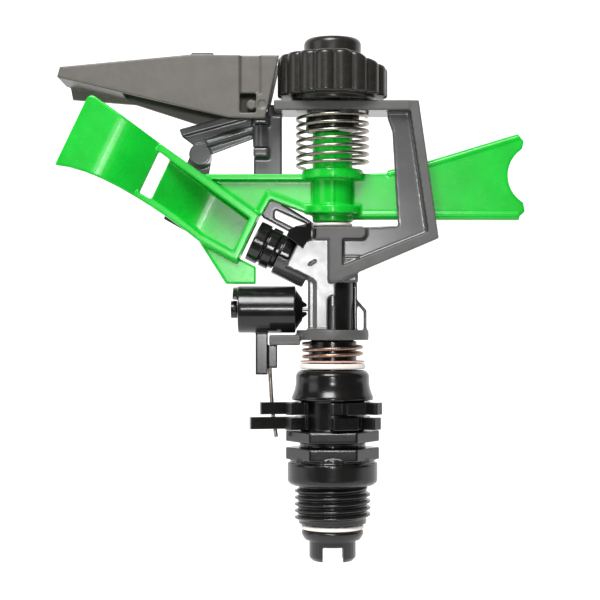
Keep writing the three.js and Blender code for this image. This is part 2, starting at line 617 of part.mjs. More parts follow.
// The arm that swings behind the spoon to hold it back while the head reverses.
function reversingArm() {
  const plate = slab([[-42.1, 97.3], [-41.3, 95.4], [-38.6, 93.4], [-33.8, 90.4], [-22, 94.8], [-22, 101.6]],
    [-0.6, 0.9]);
  const upperBar = bar([-41.6, 96.4], [-24, 101.2], 2, [-1.8, 0.9]);
  const lowerBar = rod([-34.6, -0.7, 93.6], [-21.9, -0.7, 97.4], 1.2, 1.2, 16);
  const boss = rod([-36.4, -1, 90.6], [-36.4, 7, 90.6], 3);
  const blade = slab([[-39.4, 91.5], [-33.4, 91.5], [-37.4, 68], [-47, 73.4]], [6.2, 7.6]);
  const barrel = ring(1.3, 2.2, [92.4, 98.4], 24).translate([...HOOK_PIVOT, 0]);
  const room = rod([...HOOK_PIVOT, 90], [...HOOK_PIVOT, 104], 1.3);
  return join(cut(join(plate, upperBar, lowerBar, boss, blade), room), barrel);
}

// --- assembly -------------------------------------------------------------------------------------

const FINISHES = {
  black: { color: 0x1c1c1e, roughness: 0.35, metalness: 0 },
  grey: { color: 0x7d7d80, roughness: 0.45, metalness: 0 },
  warmGrey: { color: 0x84817a, roughness: 0.5, metalness: 0 },
  green: { color: 0x17b43a, roughness: 0.35, metalness: 0 },
  white: { color: 0xece9e4, roughness: 0.55, metalness: 0 },
  amber: { color: 0xc9a79a, roughness: 0.5, metalness: 0 },
  steel: { color: 0xb4b0a8, roughness: 0.3, metalness: 1 },
  copper: { color: 0xa8785a, roughness: 0.35, metalness: 1 },
};

const sprinkler = new THREE.Group();

function place(name, made, finish) {
  const { vertProperties, triVerts, numProp } = made.getMesh();
  const geometry = new THREE.BufferGeometry();
  const positions = new Float32Array((vertProperties.length / numProp) * 3);
  for (let i = 0; i < positions.length / 3; i++) {
    positions.set(vertProperties.subarray(i * numProp, i * numProp + 3), i * 3);
  }
  geometry.setAttribute("position", new THREE.BufferAttribute(positions, 3));
  geometry.setIndex(new THREE.BufferAttribute(triVerts, 1));
  geometry.computeVertexNormals();
  const mesh = new THREE.Mesh(geometry, new THREE.MeshStandardMaterial(FINISHES[finish]));
  mesh.name = name;
  sprinkler.add(mesh);
}

const BORE = STEM_RADIUS + GAP;

place("threaded_base", threadedBase(), "black");
place("stem_tube", stemTube(), "black");
place("lower_washer", ring(BORE, 8.64, [-12.9, -11]), "white");
place("upper_washer", ring(BORE, 9, [BELL_TOP + GAP, 33.15]), "white");
place("slip_washer", ring(BORE, 8.9, [33.45, 33.95]), "amber");
place("seal_spring", coil(SEAL_SPRING, 0.4, 0, 50), "copper");
place("head_casting", headCasting(), "grey");
place("nozzle", nozzle(), "black");
place("nozzle_keeper", nozzleKeeper(), "black");
place("arm_pin", rod([0, 0, 63], [0, 0, PIN_TOP], PIN_RADIUS), "steel");
place("arm_washer", ring(PIN_RADIUS + GAP, HUB_RADIUS, [70.7, 71.6]), "white");
place("arm", arm(), "green");
place("spring_bush", ring(PIN_RADIUS + GAP, 7.4, [97, BRIDGE_BOTTOM - GAP]), "black");
place("arm_spring", coil(ARM_SPRING, 2.6, 3, 130), "steel");
place("knob", knob(), "black");
place("deflector", deflector(), "warmGrey");
place("deflector_pin", deflectorPin(), "steel");
place("trip_rocker", rocker(), "black");
place("rocker_cap", rockerCap(), "black");
place("rocker_pin", rockerPin(), "steel");
place("trip_wire", tripWire(), "steel");
place("reversing_arm", reversingArm(), "grey");
place("hook_pin", rod([...HOOK_PIVOT, 90], [...HOOK_PIVOT, 100.9], 1, 1, 16), "black");
place("upper_collar", collar(19.4, 192, 20.2, [
  { angle: 214, reach: 14.5, width: 3 },
  { angle: 300, reach: 12.6, width: 6 },
  { angle: 330, reach: 14.6, width: 3 },
]), "black");
place("lower_collar", collar(15.4, 192, 23, [
  { angle: 216, reach: 15, width: 3 },
  { angle: 286, reach: 12.4, width: 7 },
  { angle: 326, reach: 14.6, width: 3.4 },
]), "black");

export default sprinkler;
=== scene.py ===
"""A part-circle impact sprinkler in moulded plastic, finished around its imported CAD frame.

Lengths are in metres. A value that ends in `* MM` is stated in millimetres.
"""

import logging
import math
from collections.abc import Iterable, Sequence
from dataclasses import dataclass
from enum import Enum

import bmesh
import bpy
from mathutils import Matrix, Vector


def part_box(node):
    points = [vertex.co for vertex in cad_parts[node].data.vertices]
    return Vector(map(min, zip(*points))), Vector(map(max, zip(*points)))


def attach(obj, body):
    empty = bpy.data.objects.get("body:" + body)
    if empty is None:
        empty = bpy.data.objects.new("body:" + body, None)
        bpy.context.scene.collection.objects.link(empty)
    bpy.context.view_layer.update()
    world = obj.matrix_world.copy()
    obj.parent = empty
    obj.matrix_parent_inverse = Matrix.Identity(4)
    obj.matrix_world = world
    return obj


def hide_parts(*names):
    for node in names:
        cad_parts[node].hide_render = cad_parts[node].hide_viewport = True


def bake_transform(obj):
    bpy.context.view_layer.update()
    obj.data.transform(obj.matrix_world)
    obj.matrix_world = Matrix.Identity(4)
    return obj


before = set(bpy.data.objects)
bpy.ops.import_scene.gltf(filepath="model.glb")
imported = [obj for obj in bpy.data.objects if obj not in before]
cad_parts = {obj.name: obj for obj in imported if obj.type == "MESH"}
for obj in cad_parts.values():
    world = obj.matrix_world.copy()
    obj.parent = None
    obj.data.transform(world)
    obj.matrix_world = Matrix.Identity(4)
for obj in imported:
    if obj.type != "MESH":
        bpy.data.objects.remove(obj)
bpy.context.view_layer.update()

MM = 0.001
LOG = logging.getLogger("sprinkler")

Point = tuple[float, float, float]
Flat = tuple[float, float]


# --- finishes ---------------------------------------------------------------------------------


def linear(colour: str) -> tuple[float, float, float, float]:
    """Turns an sRGB hex colour to linear light.

    Args:
        colour: six hex digits with a leading "#".

    Returns:
        Red, green, blue and an alpha of 1.
    """
    channels = [int(colour[i : i + 2], 16) / 255 for i in (1, 3, 5)]
    light = [c / 12.92 if c <= 0.04045 else ((c + 0.055) / 1.055) ** 2.4 for c in channels]
    return (light[0], light[1], light[2], 1.0)


def add_node(
    tree: bpy.types.NodeTree,
    kind: str,
    settings: dict[str, object] | None = None,
    inputs: dict[str | int, object] | None = None,
) -> bpy.types.Node:
    """Adds a shader node with its settings and links.

    Args:
        tree: the material's node tree.
        kind: the node's type name.
        settings: attributes to set on the node.
        inputs: a value, or the output socket to link, for each input by name or number.

    Returns:
        The new node.
    """
    node = tree.nodes.new(kind)
    for name, value in (settings or {}).items():
        setattr(node, name, value)
    for key, value in (inputs or {}).items():
        socket = node.inputs[key]
        if isinstance(value, bpy.types.NodeSocket):
            tree.links.new(value, socket)
        else:
            socket.default_value = value
    return node


# How far light bleeds sideways through a thin green wall, and how red, green and blue share it.
BLEED_DEPTH = 1.2 * MM
BLEED_BY_COLOUR = (0.3, 1.0, 0.3)
# The size of the patches that handling and flow leave in the gloss.
GLOSS_PATCH = 2.5 * MM


class Make(Enum):
    """How the surface of a piece was made, which decides its fine relief."""

    MOULDED = "moulded"
    SPARKED = "spark-eroded mould"
    DRAWN = "drawn"


@dataclass(frozen=True)
class Finish:
    """One real material with one way of making its surface.

    Lengths named `_mm` are in millimetres: the size of the colour drift, the size of the fine
    grain, and its height. `spread` is how far the roughness strays to each side.
    """

    name: str
    colour: str
    shade: str
    roughness: float
    make: Make = Make.MOULDED
    metallic: float = 0.0
    ior: float = 1.49
    mottle_mm: float = 7.0
    grain_mm: float = 0.5
    relief_mm: float = 0.012
    spread: float = 0.03
    translucency: float = 0.0

    def material(self) -> bpy.types.Material:
        """Builds the finish the first time it is asked for.

        Returns:
            The finish's material.
        """
        made = bpy.data.materials.get(self.name)
        if made:
            return made
        made = bpy.data.materials.new(self.name)
        made.use_nodes = True
        tree = made.node_tree
        tree.nodes.clear()
        place = add_node(tree, "ShaderNodeTexCoord").outputs["Object"]
        colour = self._mottle(tree, place)
        roughness = self._gloss(tree, place)
        normal = self._relief(tree, place)
        shader = add_node(
            tree,
            "ShaderNodeBsdfPrincipled",
            inputs={
                "Base Color": colour,
                "Roughness": roughness,
                "Normal": normal,
                "Metallic": self.metallic,
            },
        )
        if not self.metallic:
            shader.inputs["IOR"].default_value = self.ior
        if self.translucency:
            shader.inputs["Subsurface Weight"].default_value = self.translucency
            shader.inputs["Subsurface Radius"].default_value = BLEED_BY_COLOUR
            shader.inputs["Subsurface Scale"].default_value = BLEED_DEPTH
        add_node(tree, "ShaderNodeOutputMaterial", inputs={"Surface": shader.outputs[0]})
        return made

    def _mottle(
        self, tree: bpy.types.NodeTree, place: bpy.types.NodeSocket
    ) -> bpy.types.NodeSocket:
        """Slow drift between two shades of the pigment, as the melt cools unevenly.

        Args:
            tree: the material's node tree.
            place: the point being shaded, in metres.

        Returns:
            The colour.
        """
        noise = add_node(
            tree,
            "ShaderNodeTexNoise",
            inputs={
                "Vector": place,
                "Scale": 1 / (self.mottle_mm * MM),
                "Detail": 4.0,
                "Roughness": 0.6,
            },
        )
        share = add_node(
            tree,
            "ShaderNodeMapRange",
            inputs={"Value": noise.outputs["Fac"], "From Min": 0.35, "From Max": 0.7},
        )
        mix = add_node(
            tree,
            "ShaderNodeMix",
            {"data_type": "RGBA"},
            {0: share.outputs[0], 6: linear(self.colour), 7: linear(self.shade)},
        )
        return mix.outputs[2]

    def _gloss(
        self, tree: bpy.types.NodeTree, place: bpy.types.NodeSocket
    ) -> bpy.types.NodeSocket:
        """Roughness that varies a little with handling and flow.

        Args:
            tree: the material's node tree.
            place: the point being shaded, in metres.

        Returns:
            The roughness.
        """
        noise = add_node(
            tree,
            "ShaderNodeTexNoise",
            inputs={"Vector": place, "Scale": 1 / GLOSS_PATCH, "Detail": 5.0, "Roughness": 0.65},
        )
        ranged = add_node(
            tree,
            "ShaderNodeMapRange",
            inputs={
                "Value": noise.outputs["Fac"],
                "From Min": 0.3,
                "From Max": 0.7,
                "To Min": self.roughness - self.spread,
                "To Max": self.roughness + self.spread,
            },
        )
        return ranged.outputs[0]

    def _relief(
        self, tree: bpy.types.NodeTree, place: bpy.types.NodeSocket
    ) -> bpy.types.NodeSocket:
        """Fine relief: grit from a sparked mould, soft waves from a polished one or a die.

        Args:
            tree: the material's node tree.
            place: the point being shaded, in metres.

        Returns:
            The bumped surface normal.
        """
        if self.make is Make.SPARKED:
            texture = add_node(
                tree,
                "ShaderNodeTexVoronoi",
                inputs={"Vector": place, "Scale": 1 / (self.grain_mm * MM)},
            ).outputs["Distance"]
        else:
            texture = add_node(
                tree,
                "ShaderNodeTexNoise",
                inputs={"Vector": place, "Scale": 1 / (self.grain_mm * MM), "Detail": 3.0},
            ).outputs["Fac"]
        return add_node(
            tree,
            "ShaderNodeBump",
            inputs={"Strength": 0.5, "Distance": self.relief_mm * MM, "Height": texture},
        ).outputs[0]


# Polypropylene, injection moulded in a polished mould: a soft sheen, and light bleeds into its
# thin walls.
GREEN = Finish(
    "polypropylene_moulded_green", "#0CBE30", "#09AE28", 0.26, mottle_mm=9.0, grain_mm=1.6,
    relief_mm=0.008, translucency=0.05,
)
# Acetal, moulded: deep black with a tight, clean highlight.
BLACK = Finish(
    "acetal_moulded_black", "#100F0F", "#171615", 0.21, mottle_mm=4.0, grain_mm=0.9,
    relief_mm=0.004,
)
# Acetal from a grained mould, for the parts that fingers turn: a broader, greyer highlight.
BLACK_GRIP = Finish(
    "acetal_grained_black", "#24221F", "#2C2A27", 0.28, make=Make.SPARKED, mottle_mm=3.0,
    grain_mm=0.45, relief_mm=0.01,
)
# Glass-filled nylon, moulded: mid grey, satin, with faint flow marks where fibres come near the
# skin.
GREY = Finish(
    "glass_filled_nylon_moulded_grey", "#4A4A4B", "#424243", 0.22, mottle_mm=6.0,
    grain_mm=0.35, relief_mm=0.002, ior=1.53, spread=0.02,
)
# The casting's rims come from a grained part of the mould, so they stay an even mid grey under the
# flash.
# Their grey is also a little lighter than the rest of the casting: painted light, for the flash
# falling on the rims.
GREY_RIM_PAINTED_LIT = Finish(
    "glass_filled_nylon_grained_grey_painted_lit", "#525150", "#4A4948", 0.48, make=Make.SPARKED,
    mottle_mm=4.0, grain_mm=0.4, relief_mm=0.006, ior=1.53,
)
# The same nylon with a warmer pigment and a grained face, which kills the gloss of the wide flap.
WARM_GREY = Finish(
    "glass_filled_nylon_grained_warm_grey", "#5A5750", "#524F49", 0.44, make=Make.SPARKED,
    mottle_mm=3.5, grain_mm=0.5, relief_mm=0.012, ior=1.53,
)
# Skived sheet: chalky and even, the whitest thing here.
PTFE = Finish(
    "ptfe_skived_white", "#EFEAE4", "#E2DAD2", 0.55, mottle_mm=5.0, grain_mm=0.3,
    relief_mm=0.006, ior=1.35,
)
# Acetal with no pigment, moulded: a dull, fleshy band between the white washers and the copper.
AMBER = Finish(
    "acetal_moulded_natural_amber", "#CDAA9B", "#BF9585", 0.45, mottle_mm=4.0, grain_mm=0.6
)
# Spring steel, drawn and coiled: bright along each turn, and darker in patches where oil stays.
# The grain of drawing is finer than this, and is drawn coarser so that it shows at all.
STEEL = Finish(
    "spring_steel_drawn", "#A9A296", "#7E776A", 0.3, make=Make.DRAWN, metallic=1.0, mottle_mm=1.2,
    grain_mm=0.08, relief_mm=0.004,
)
# Spring wire with a thin coat of copper: a warmer and softer glint than the bare steel.
COPPER = Finish(
    "spring_wire_coppered", "#AE8F80", "#83675B", 0.34, make=Make.DRAWN, metallic=1.0,
    mottle_mm=1.5, grain_mm=0.08, relief_mm=0.004,
)


# --- mesh work --------------------------------------------------------------------------------


def put_in_scene(name: str, mesh: bpy.types.Mesh) -> bpy.types.Object:
    """Wraps a mesh in an object of the scene.

    Args:
        name: the object's name.
        mesh: its mesh.

    Returns:
        The new object.
    """
    made = bpy.data.objects.new(name, mesh)
    bpy.context.scene.collection.objects.link(made)
    return made


def mesh_object(
    name: str, corners: Sequence[Sequence[float]], faces: Sequence[Sequence[int]]
) -> bpy.types.Object:
    """Makes an object from corners and faces, with its faces turned outwards.

    Args:
        name: the object's name.
        corners: points in metres.
        faces: indices of each face's corners.

    Returns:
        The new object.
    """
    mesh = bpy.data.meshes.new(name)
    mesh.from_pydata([tuple(c) for c in corners], [], [tuple(f) for f in faces])
    work = bmesh.new()
    work.from_mesh(mesh)
    bmesh.ops.recalc_face_normals(work, faces=work.faces)
    work.to_mesh(mesh)
    work.free()
    return put_in_scene(name, mesh)


def lathe(
    name: str,
    profile: Sequence[Flat],
    start: Point = (0.0, 0.0, 0.0),
    along: Point = (0.0, 0.0, 1.0),
    segments: int = 144,
) -> bpy.types.Object:
    """Turns a closed profile about an axis.

    Args:
        name: the object's name.
        profile: (radius, height) pairs. It starts and ends on the axis, or closes on itself.
        start: the point of the axis at height 0.
        along: the direction of the axis.
        segments: facets round the axis.

    Returns:
        The turned solid.
    """
    on_axis = profile[0][0] == 0
    turn = Vector((0, 0, 1)).rotation_difference(Vector(along)).to_matrix().to_4x4()
    place = Matrix.Translation(start) @ turn
    corners: list[Vector] = []
    rows: list[list[int]] = []
    for radius, height in profile:
        if radius == 0:
            rows.append([len(corners)] * segments)
            corners.append(place @ Vector((0, 0, height)))
            continue
        rows.append([len(corners) + i for i in range(segments)])
        for i in range(segments):
            angle = 2 * math.pi * i / segments
            around = Vector((radius * math.cos(angle), radius * math.sin(angle), height))
            corners.append(place @ around)
    faces: list[list[int]] = []
    count = len(rows)
    for k in range(count - 1 if on_axis else count):
        low, high = rows[k], rows[(k + 1) % count]
        for i in range(segments):
            j = (i + 1) % segments
            ring = [low[i], low[j], high[j], high[i]]
            faces.append(list(dict.fromkeys(ring)))
    return mesh_object(name, corners, [f for f in faces if len(f) > 2])


def prism(name: str, outline: Sequence[Flat], front: float, back: float) -> bpy.types.Object:
    """Makes a slab from an outline in the XZ plane, between two depths along Y.

    Args:
        name: the object's name.
        outline: (x, z) corners in metres.
        front: the depth of the first face.
        back: the depth of the other.

    Returns:
        The slab.
    """
    count = len(outline)
    corners = [(x, y, z) for y in (front, back) for x, z in outline]
    faces: list[list[int]] = [list(range(count)), [count + i for i in range(count)]]
    faces += [[i, (i + 1) % count, count + (i + 1) % count, count + i] for i in range(count)]
    return mesh_object(name, corners, faces)


def evaluated_mesh(holder: bpy.types.Object) -> bpy.types.Mesh:
    """Makes a mesh of an object's shape, with its modifiers or its bevel in effect.

    Args:
        holder: a mesh with modifiers, or a curve with a section.

    Returns:
        The new mesh.
    """
    bpy.context.view_layer.update()
    settled = holder.evaluated_get(bpy.context.evaluated_depsgraph_get())
    return bpy.data.meshes.new_from_object(settled)


def wire(
    name: str, path: Sequence[Sequence[float]], radius: float, sides: int = 4
) -> bpy.types.Object:
    """Sweeps a round section along a path, with closed ends.

    Args:
        name: the object's name.
        path: points in metres.
        radius: the section's radius.
        sides: the resolution of each quarter of the section.

    Returns:
        The swept solid, as a mesh.
    """
    curve = bpy.data.curves.new(name, "CURVE")
    curve.dimensions = "3D"
    curve.bevel_depth = radius
    curve.bevel_resolution = sides
    curve.use_fill_caps = True
    spline = curve.splines.new("POLY")
    spline.points.add(len(path) - 1)
    for point, place in zip(spline.points, path):
        point.co = (*place, 1.0)
    holder = bpy.data.objects.new(name + "_path", curve)
    bpy.context.scene.collection.objects.link(holder)
    mesh = evaluated_mesh(holder)
    bpy.data.objects.remove(holder)
    return put_in_scene(name, mesh)


def cad_copy(name: str, node: str) -> bpy.types.Object:
    """Copies a CAD node's mesh to a new object, with its split corners merged.

    Args:
        name: the new object's name.
        node: the CAD node, which stays as it is.

    Returns:
        The copy.
    """
    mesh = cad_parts[node].data.copy()
    mesh.materials.clear()
    work = bmesh.new()
    work.from_mesh(mesh)
    bmesh.ops.remove_doubles(work, verts=work.verts, dist=1e-6)
    work.to_mesh(mesh)
    work.free()
    return put_in_scene(name, mesh)


def applied(piece: bpy.types.Object) -> bpy.types.Object:
    """Bakes a piece's modifiers into its mesh.

    Args:
        piece: an object with modifiers.

    Returns:
        The same piece, with none.
    """
    mesh = evaluated_mesh(piece)
    piece.modifiers.clear()
    piece.data = mesh
    return piece


def carved(piece: bpy.types.Object, *cutters: bpy.types.Object) -> bpy.types.Object:
    """Cuts each cutter out of a piece, and removes the cutters.

    Args:
        piece: the solid to cut.
        cutters: solids to take away from it.

    Returns:
        The same piece.
    """
    for cutter in cutters:
        cut = piece.modifiers.new("cut", "BOOLEAN")
        cut.operation = "DIFFERENCE"
        cut.solver = "EXACT"
        cut.object = cutter
        applied(piece)
        bpy.data.objects.remove(cutter)
    return piece


def fused(piece: bpy.types.Object, others: Iterable[bpy.types.Object]) -> bpy.types.Object:
    """Adds other solids to a piece's mesh. The remesh that follows makes one surface of them.

    Args:
        piece: the mesh that grows.
        others: the solids to add, which are removed.

    Returns:
        The same piece.
    """
    work = bmesh.new()
    work.from_mesh(piece.data)
    for other in others:
        work.from_mesh(other.data)
        bpy.data.objects.remove(other)
    work.to_mesh(piece.data)
    work.free()
    return piece


def softened(piece: bpy.types.Object, voxel: float, passes: int) -> bpy.types.Object:
    """Gives a piece one skin with the small radii that a mould leaves on every edge.

    Args:
        piece: overlapping closed solids in one mesh.
        voxel: the size of the new mesh's facets.
        passes: rounds of smoothing, which set the edge radius.

    Returns:
        The same piece.
    """
    remesh = piece.modifiers.new("skin", "REMESH")
    remesh.mode = "VOXEL"
    remesh.voxel_size = voxel
    remesh.use_smooth_shade = True
    smooth = piece.modifiers.new("radii", "SMOOTH")
    smooth.factor = 0.5
    smooth.iterations = passes
    return applied(piece)


def finished(
    piece: bpy.types.Object,
    body: str,
    finish: Finish,
    replaces: Sequence[str] = (),
) -> bpy.types.Object:
    """Dresses a piece and hangs it on its body.

    Args:
        piece: the finished mesh.
        body: the CAD body it rides on.
        finish: its material.
        replaces: CAD nodes that it stands for.

    Returns:
        The same piece.
    """
    piece.data.materials.clear()
    piece.data.materials.append(finish.material())
    for face in piece.data.polygons:
        face.use_smooth = True
    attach(piece, body)
    if replaces:
        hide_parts(*replaces)
    LOG.info("%s: %d faces", piece.name, len(piece.data.polygons))
    return piece


def helix(
    radius: float, low: float, high: float, turns: float, start: float, steps: int
) -> list[Point]:
    """Lays out a helix about the spin axis.

    Args:
        radius: the radius of the wire's centre line.
        low: the height of its first point.
        high: the height of its last.
        turns: how many times it goes round.
        start: the angle of its first point.
        steps: points a turn.

    Returns:
        The points, from the bottom up.
    """
    count = round(turns * steps)
    points: list[Point] = []
    for i in range(count + 1):
        angle = start + 2 * math.pi * turns * i / count
        height = low + (high - low) * i / count
        points.append((radius * math.cos(angle), radius * math.sin(angle), height))
    return points


def rounded(profile: Sequence[Flat], radius: float, steps: int = 4) -> list[Flat]:
    """Rounds the inner corners of an open profile.

    Args:
        profile: the profile's corners; the first and last stay sharp.
        radius: the greatest corner radius, which shrinks where an edge is short.
        steps: points along each round corner.

    Returns:
        The profile with its corners rounded.
    """
    points: list[Flat] = [profile[0]]
    for before, corner, after in zip(profile, profile[1:], profile[2:]):
        middle, first, last = (Vector(p) for p in (corner, before, after))
        reach = min(radius, (first - middle).length * 0.45, (last - middle).length * 0.45)
        enter = middle + (first - middle).normalized() * reach
        leave = middle + (last - middle).normalized() * reach
        for i in range(steps + 1):
            share = i / steps
            point = enter * (1 - share) ** 2 + middle * 2 * share * (1 - share) + leave * share**2
            points.append((point.x, point.y))
    points.append(profile[-1])
    return points


# --- the sub-assemblies -----------------------------------------------------------------------


@dataclass
class Base:
    """The threaded base, its washers and the two stop collars."""

    thread_radius: float = 20.955 / 2 * MM
    thread_root: float = 18.631 / 2 * MM
    thread_pitch: float = 1.814 * MM
    thread_end: float = -0.02 * MM
    ridge_half: float = 0.86 * MM
    crest_half: float = 0.2 * MM
    bore: float = 6.9 * MM
    core: float = 8 * MM
    flange_top: float = 6.1 * MM
    barrel_radius: float = 8.55 * MM
    bell_low: float = 23.1 * MM
    edge: float = 0.7 * MM

    def build(self) -> None:
        """Makes and dresses every piece of the base."""
        low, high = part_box("threaded_base")
        base = cad_copy("threaded_base_body", "threaded_base")
        # The CAD thread is a stack of rings: it is turned away and cut again as a helix.
        past, clear = low.z - 1 * MM, 14 * MM
        sleeve = [
            (self.thread_root, past), (clear, past), (clear, self.thread_end),
            (self.thread_root, self.thread_end),
        ]
        carved(base, lathe("ring_room", sleeve, segments=96))
        core, foot, crown = self.core, self.bell_low, high.z
        bell = [
            (core, foot), (11.2 * MM, foot), (11.25 * MM, foot + 0.8 * MM),
            (10.5 * MM, foot + 2.6 * MM), (10.1 * MM, foot + 4.4 * MM),
            (10.1 * MM, crown - 1.1 * MM), (9 * MM, crown), (core, crown),
        ]
        shoulder = [
            (core, 0.0), (11.4 * MM, 0.0), (12.38 * MM, 0.95 * MM), (12.38 * MM, 5.8 * MM),
            (12 * MM, self.flange_top), (core, self.flange_top),
        ]
        radius = self.barrel_radius
        barrel = [(core, 14 * MM), (radius, 14 * MM), (radius, 24 * MM), (core, 24 * MM)]
        parts = [lathe("turned", rounded(p, self.edge)) for p in (bell, shoulder, barrel)]
        fused(base, [*parts, self._thread(low.z)])
        finished(softened(base, 0.24 * MM, 3), "base", BLACK, ["threaded_base"])
        self._washer("lower_washer", "base", PTFE, 0.65 * MM)
        self._washer("upper_washer", "base", PTFE)
        self._washer("slip_washer", "head", AMBER)
        for name in ("upper_collar", "lower_collar"):
            collar = softened(cad_copy(name + "_ring", name), 0.14 * MM, 4)
            finished(collar, name, BLACK, [name])

    def _thread(self, bottom: float) -> bpy.types.Object:
        """The right-hand thread ridge, which fades in and out at its ends.

        Args:
            bottom: the height of the base's lower end.

        Returns:
            The ridge, sunk a little into the thread's root.
        """
        low, high = bottom + 0.75 * MM, -0.75 * MM
        turns = (high - low) / self.thread_pitch
        steps = 72
        fade_steps = steps / 3
        count = round(turns * steps)
        root = self.thread_root - 0.3 * MM
        half, narrow = self.ridge_half, self.crest_half
        corners: list[Point] = []
        for i in range(count + 1):
            angle = 2 * math.pi * turns * i / count
            height = low + (high - low) * i / count
            fade = min(1.0, i / fade_steps, (count - i) / fade_steps)
            crest = root + (self.thread_radius - root) * (0.25 + 0.75 * fade)
            section = ((root, -half), (crest, -narrow), (crest, narrow), (root, half))
            for radius, lift in section:
                x, y = radius * math.cos(angle), radius * math.sin(angle)
                corners.append((x, y, height + lift))
        faces: list[list[int]] = [[0, 1, 2, 3], [count * 4 + i for i in range(4)]]
        for i in range(count):
            for j in range(4):
                k = (j + 1) % 4
                faces.append([i * 4 + j, i * 4 + k, i * 4 + 4 + k, i * 4 + 4 + j])
        return mesh_object("thread_ridge", corners, faces)

    def _washer(
        self, node: str, body: str, finish: Finish, lift: float = 0.0
    ) -> None:
        """A flat washer with a soft edge, turned from its CAD node's box.

        Args:
            node: the CAD node it stands for.
            body: the body it rides on.
            finish: its material.
            lift: how far its lower face is raised, which makes it thinner.
        """
        low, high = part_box(node)
        low.z += lift
        edge = min(0.3 * MM, (high.z - low.z) * 0.3)
        profile = [
            (self.bore, low.z), (high.x - edge, low.z), (high.x, low.z + edge),
            (high.x, high.z - edge), (high.x - edge, high.z), (self.bore, high.z),
        ]
        finished(lathe(node + "_disc", rounded(profile, edge)), body, finish, [node])


@dataclass
class Stem:
    """The turning tube with its slotted nose, and the seal spring round it."""

    wire_radius: float = 0.5 * MM
    spring_turns: float = 2.2
    spring_start: float = 2.6
    core: float = 5 * MM
    shaft_radius: float = 6.62 * MM
    shaft_bottom: float = -13 * MM
    shaft_top: float = 39.3 * MM
    spigot_radius: float = 5.72 * MM
    spigot_top: float = 57 * MM
    flange_radius: float = 8.5 * MM
    flange_bottom: float = -15.1 * MM
    flange_top: float = -12.5 * MM

    def build(self) -> None:
        """Makes and dresses the stem and its spring."""
        stem = cad_copy("stem_body", "stem_tube")
        core, radius, top = self.core, self.shaft_radius, self.shaft_top
        foot = self.shaft_bottom
        shaft = [(core, foot), (radius, foot), (radius, top), (core, top)]
        step, tip = top - 1 * MM, self.spigot_top
        spigot = [
            (core, step), (self.spigot_radius, step), (self.spigot_radius, tip), (core, tip),
        ]
        flange = [
            (core, self.flange_bottom), (7.6 * MM, self.flange_bottom),
            (self.flange_radius, -13.6 * MM), (self.flange_radius, self.flange_top),
            (core, self.flange_top),
        ]
        solids = [
            lathe("shaft", shaft),
            lathe("spigot", spigot),
            lathe("flange", rounded(flange, 0.5 * MM)),
        ]
        fused(stem, solids)
        finished(softened(stem, 0.2 * MM, 3), "head", BLACK, ["stem_tube"])
        low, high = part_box("seal_spring")
        thick = self.wire_radius
        path = helix(
            high.x - thick, low.z + thick, high.z - thick, self.spring_turns, self.spring_start, 56
        )
        spring = wire("seal_spring_coil", path, self.wire_radius, 5)
        finished(spring, "head", COPPER, ["seal_spring"])


